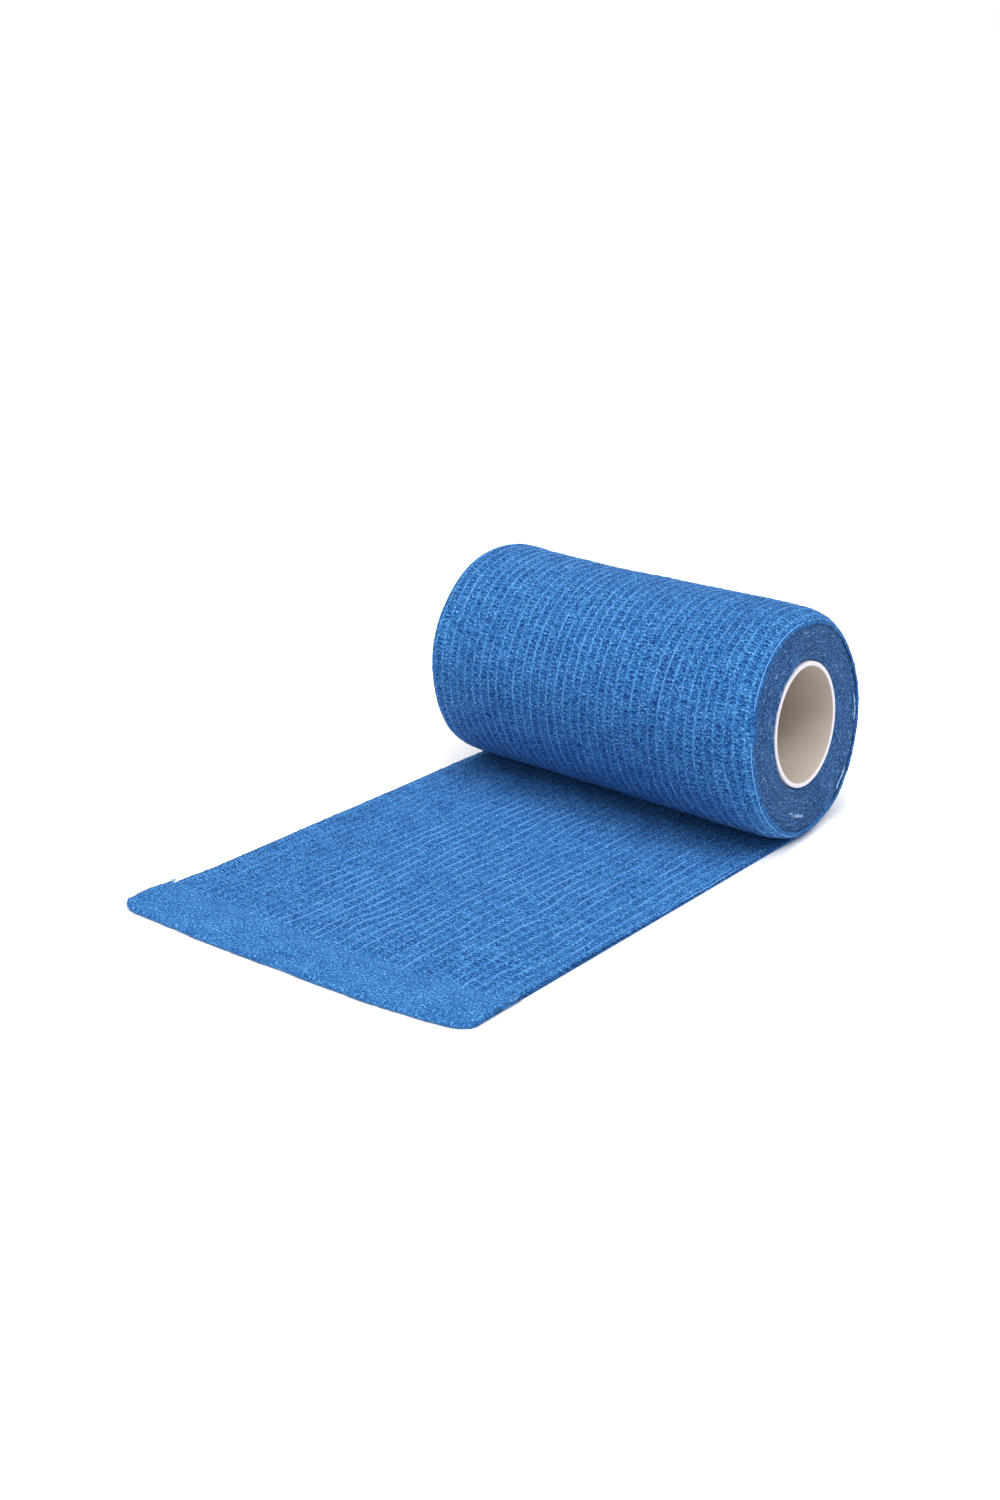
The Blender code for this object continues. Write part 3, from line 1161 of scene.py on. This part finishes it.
        # The threaded face, from the flap to under the roll.
        share = np.linspace(0, 1, self.rows)[1:, None]
        out = cut + (self.start - cut) * share
        face, plain = relief.surface(across, out), relief.reverse(across, out)
        threaded = ease((cut - out - 0.5) / 3.0)
        under_roll = ease((out - 2.0) / 4.0)
        height = plain.height + (face.height - plain.height) * threaded
        level = self.thickness + height * under_roll
        tone = plain.tone + (face.tone - plain.tone) * threaded
        grid.add(self.place(relief.across(across, out), out, level), across, out, tone, 0.8 * threaded)
        return grid.make("loose_end", self.finish, ring=False)

    def dress(self) -> bpy.types.Object:
        strip = settle(self.build(), CLOTH_SLOT, "bandage_tail")
        return strip


@dataclass
class ElasticThreads:
    """The elastic threads where they lift out of the crepe, on the roll and the loose end."""

    form: RollForm
    relief: CrepeRelief
    tail: LooseEnd
    finish: bpy.types.Material
    count: int = 17
    roll_thickness: float = 0.18
    tail_thickness: float = 0.28
    edge_thickness: float = 0.30
    edge_place: float = 49.8
    rise: float = 1.05
    sunk: float = 0.90
    step: float = 0.9

    def places(self) -> Array:
        """Place of each thread across the cloth, with one bound into each cut edge."""
        inner = np.arange(-self.count, self.count + 1) * self.relief.thread_pitch
        return np.concatenate([[-self.edge_place], inner, [self.edge_place]])

    def lift(self, place: Array, out: Array, thickness: float) -> Array:
        """Height of a thread's middle over the crepe: sunk where it hides, proud where it shows.

        Args:
            place: place across the cloth, counted in straight threads.
            out: place along the cloth.
            thickness: the thread's diameter.

        Returns:
            The height at each place, in mm.
        """
        presence = self.relief.presence(place, out)
        showing = self.relief.showing(place, out) * presence
        return self.relief.ridge * presence + thickness * (self.rise * showing - self.sunk)

    def on_roll(self) -> bpy.types.Object:
        """Threads round the outermost turn."""
        relief = self.relief
        angle = np.arange(radians(6), radians(352), self.step / self.form.wound_radius)
        out = -self.form.wound_radius * angle
        lowest = np.where(angle > pi, 1.1, 0.2)
        lines = []
        for place in self.places():
            straight = np.full_like(out, place)
            billow = relief.surface(straight, out).height - relief.ridge
            height = billow + self.lift(straight, out, self.roll_thickness)
            if abs(place) == self.edge_place:
                height = relief.ridge - 0.06 + 0.20 * relief.noise["show"](out / 9 + 60, place)
            lines.append(self.form.wrap_points(relief.across(place, out), angle, height, lowest))
        inner = [self.roll_thickness] * (len(lines) - 2)
        widths = [self.edge_thickness, *inner, self.edge_thickness]
        return make_strands("roll_threads", lines, widths, self.finish)

    def on_tail(self) -> bpy.types.Object:
        """Threads along the loose end."""
        lines = []
        for number, place in enumerate(self.places()):
            tip = float(np.interp(place, self.tail.columns, self.tail.tip))
            out = np.arange(6.0, tip - self.tail.fold_depth - 2.0 + (number * 7 % 5) * 0.5, self.step)
            straight = np.full_like(out, place)
            billow = self.relief.surface(straight, out).height - self.relief.ridge
            height = self.tail.thickness + billow + self.lift(straight, out, self.tail_thickness)
            lines.append(self.tail.place(self.relief.across(place, out), out, height))
        return make_strands("tail_threads", lines, [self.tail_thickness] * len(lines), self.finish)

    def dress(self) -> list[bpy.types.Object]:
        """Build both sets of threads and ride them."""
        return [settle(threads, CLOTH_SLOT) for threads in (self.on_roll(), self.on_tail())]


class Fray(NamedTuple):
    """A frayed stretch on an end face: mm in from the rim, radians round it, mm long."""

    inset: float
    start: float
    length: float


@dataclass
class FrayedFibres:
    """Loose fibres and thread ends along the cut edges."""

    form: RollForm
    tail: LooseEnd
    face_finish: bpy.types.Material
    hem_finish: bpy.types.Material
    seed: int = 41
    face_fibres: int = 90
    hem_fibres: int = 70
    corner_fibres: int = 9
    strands_in_fray: int = 11
    first_radius: float = 18.0
    fray_proud: float = 0.42
    frays: Sequence[Fray] = (
        Fray(inset=0.7, start=0.62, length=6.5),
        Fray(inset=4.6, start=-0.50, length=8.0),
        Fray(inset=0.6, start=1.35, length=6.0),
    )

    def face_arc(
        self,
        draw: np.random.Generator,
        side: int,
        radius: float,
        start: float,
        length: float,
        proud: float = 0.15,
    ) -> Array:
        """One fibre lying along a cut edge on an end face.

        Args:
            draw: where its chances come from.
            side: 1 for the end at +X, -1 for the other.
            radius: distance from the roll's axis.
            start: angle that it starts at.
            length: its length in mm.
            proud: how far its ends stand out of the face, in mm.

        Returns:
            Points along it, in mm.
        """
        form = self.form
        steps = max(int(length / 0.6), 4)
        share = np.linspace(0, 1, steps)
        angle = start + length / radius * share
        outward = radius + np.cumsum(draw.normal(0, 0.10, steps))
        rise = proud + 0.30 * np.sin(pi * share) * draw.uniform(0.3, 1.0)
        drop = form.sag(side * form.half_width) * ease((radius - 17) / 9)
        depth = side * (form.half_width - 0.40 + rise)
        height = form.axis_height - drop - outward * np.cos(angle)
        return form.leant(stacked(depth, outward * np.sin(angle), height))

    def on_faces(self) -> bpy.types.Object:
        """Fibres on both end faces, some of them frayed out near their edges."""
        draw = np.random.default_rng(self.seed)
        lines, widths = [], []
        for side in (1, -1):
            outer = self.form.wound_radius - 1.6 + float(self.form.swell(side * 49.6))
            for _ in range(self.face_fibres):
                radius, start = draw.uniform(self.first_radius, outer), draw.uniform(0, 2 * pi)
                lines.append(self.face_arc(draw, side, radius, start, draw.uniform(0.8, 2.4)))
                widths.append(draw.uniform(0.06, 0.12))
            for inset, start, length in self.frays:
                for _ in range(self.strands_in_fray):
                    radius = outer - inset + draw.normal(0, 0.16)
                    turned, reach = start + draw.uniform(0, length / outer), draw.uniform(1.2, 3.2)
                    lines.append(self.face_arc(draw, side, radius, turned, reach, self.fray_proud))
                    widths.append(draw.uniform(0.18, 0.30))
        return make_strands("face_fibres", lines, widths, self.face_finish)

    def tuft(self, draw: np.random.Generator, share: float, heading: float, length: float) -> Array:
        """One fibre out of the flap's cut edge.

        Args:
            draw: where its chances come from.
            share: its place across the width, from -1 to 1.
            heading: its direction, from along the edge at 0 to back towards the roll.
            length: its length in mm.

        Returns:
            Points along it, in mm.
        """
        path = np.linspace(0, length, 7)
        curl = np.cumsum(draw.normal(0, 0.10, 7))
        out = float(np.interp(share, self.tail.share, self.tail.tip)) - self.tail.fold_depth
        out = out + draw.uniform(-0.8, 1.0) - path * sin(heading) * 0.8 + curl
        across = share * self.form.half_width + np.sign(share) * path * cos(heading) * 0.55 + curl
        level = self.tail.thickness + 0.25 + 0.3 * np.sin(pi * path / length)
        return self.tail.place(across, out, level)

    def on_hem(self) -> bpy.types.Object:
        """Fibres along the flap's cut edge and tufts at its two corners."""
        draw = np.random.default_rng(self.seed + 1)
        lines, widths = [], []
        for _ in range(self.hem_fibres):
            share, heading = draw.uniform(-0.97, 0.97), draw.uniform(-0.9, 0.9)
            lines.append(self.tuft(draw, share, heading, draw.uniform(0.8, 2.2)))
            widths.append(draw.uniform(0.09, 0.16))
        for side in (1, -1):
            for _ in range(self.corner_fibres):
                share = side * draw.uniform(0.985, 1.005)
                lines.append(self.tuft(draw, share, draw.uniform(0.1, 1.3), draw.uniform(0.8, 2.0)))
                widths.append(draw.uniform(0.10, 0.22))
        return make_strands("hem_fibres", lines, widths, self.hem_finish)

    def dress(self) -> list[bpy.types.Object]:
        """Build the fibres and ride them."""
        return [settle(fibres, CLOTH_SLOT) for fibres in (self.on_faces(), self.on_hem())]


# The studio


@dataclass
class Studio:
    """Plain pale floor, soft sky, light from above, and the camera."""

    azimuth: float = 38.9
    elevation: float = 21.9
    distance: float = 473.0
    aim: tuple[float, float, float] = (-15.9, -42.3, 20.4)
    lens: float = 43.7
    floor_size: float = 60.0
    horizon_strength: float = 1.0
    sky_strength: float = 0.55
    key_strength: float = 2.25
    fill_strength: float = 0.95
    front_strength: float = 0.5

    def build_camera(self) -> bpy.types.Object:
        """Place the camera and make it the scene's own."""
        turn, tilt = radians(self.azimuth), radians(self.elevation)
        back = Vector((sin(turn) * cos(tilt), -cos(turn) * cos(tilt), sin(tilt)))
        data = bpy.data.cameras.new("studio_camera")
        data.lens, data.sensor_width = self.lens, 36.0
        data.clip_start, data.clip_end = 0.02, 100.0
        camera = bpy.data.objects.new("studio_camera", data)
        camera.location = (Vector(self.aim) + back * self.distance) * MM
        camera.rotation_euler = (-back).to_track_quat("-Z", "Y").to_euler()
        bpy.context.collection.objects.link(camera)
        bpy.context.scene.camera = camera
        return camera

    def build_floor(self) -> bpy.types.Object:
        """Lay the floor under the object's lowest point."""
        deselect_all()
        bpy.ops.mesh.primitive_plane_add(size=self.floor_size, location=(0, 0, CAD_BOX[0][2]))
        floor = bpy.context.object
        floor.name = "studio_floor"
        bpy.ops.object.transform_apply(location=True, rotation=True, scale=True)
        graph = NodeGraph("matt_white_sweep")
        floor.data.materials.append(graph.shade(Base_Color=linear("#FBFBFB"), Roughness=0.9))
        return floor

    def build_sky(self) -> None:
        """Set a sky that is white at the horizon and softer overhead."""
        world = bpy.data.worlds.new("studio_sky")
        world.use_nodes = True
        tree = world.node_tree
        sky = tree.nodes["Background"]
        sky.inputs["Color"].default_value = (1.0, 1.0, 1.0, 1.0)
        place = tree.nodes.new("ShaderNodeTexCoord")
        split = tree.nodes.new("ShaderNodeSeparateXYZ")
        fade = tree.nodes.new("ShaderNodeMapRange")
        for number, value in enumerate((0.03, 0.12, self.horizon_strength, self.sky_strength), start=1):
            fade.inputs[number].default_value = value
        tree.links.new(place.outputs["Generated"], split.inputs[0])
        tree.links.new(split.outputs["Z"], fade.inputs[0])
        tree.links.new(fade.outputs[0], sky.inputs["Strength"])
        bpy.context.scene.world = world

    def build_lights(self) -> None:
        """Set one broad key from above, a fill into the near bore and a weak one from the front."""
        self.build_light("key", self.key_strength, 60, Vector((0.05, 0.20, -1.0)))
        self.build_light("fill", self.fill_strength, 22, Vector((-0.52, 0.02, -0.85)))
        self.build_light("front", self.front_strength, 80, Vector((-0.30, 0.80, -0.52)))

    def build_light(self, name: str, strength: float, spread: float, heading: Vector) -> None:
        """Set one broad, far light.

        Args:
            name: its name.
            strength: its power on a face square to it.
            spread: its width in degrees.
            heading: the way its light goes.
        """
        data = bpy.data.lights.new(name, "SUN")
        data.energy, data.angle = strength, radians(spread)
        light = bpy.data.objects.new(name, data)
        light.rotation_euler = heading.to_track_quat("-Z", "Y").to_euler()
        bpy.context.collection.objects.link(light)

    def build(self) -> None:
        """Build camera, floor, sky and lights."""
        self.build_camera()
        self.build_floor()
        self.build_sky()
        self.build_lights()
        bpy.context.scene.view_settings.view_transform = "Standard"


def main() -> None:
    """Build the studio and every piece of the bandage roll."""
    logging.basicConfig(level=logging.INFO, format="%(name)s: %(message)s")
    Studio().build()
    form = RollForm()
    relief = CrepeRelief(form.half_width)
    face = CrepeFinish(ClothFace.THREADED).make()
    edges = CrepeFinish(
        ClothFace.CUT_EDGES,
        light="#547FB2",
        mid="#2A5487",
        deep="#0D264B",
        glint="#7398C6",
        speckle_share=0.52,
    ).make()
    thread = ThreadFinish().make()
    fibre = ThreadFinish(name="frayed_fibre", colour="#B7CDEB", shade="#6F9AD0").make()
    CoreTube(form).dress()
    WoundTurns(form, edges).dress()
    OuterTurn(form, relief, face).dress()
    tail = LooseEnd(form, relief, face)
    tail.dress()
    ElasticThreads(form, relief, tail, thread).dress()
    FrayedFibres(form, tail, fibre, thread).dress()


if __name__ == "__main__":
    main()
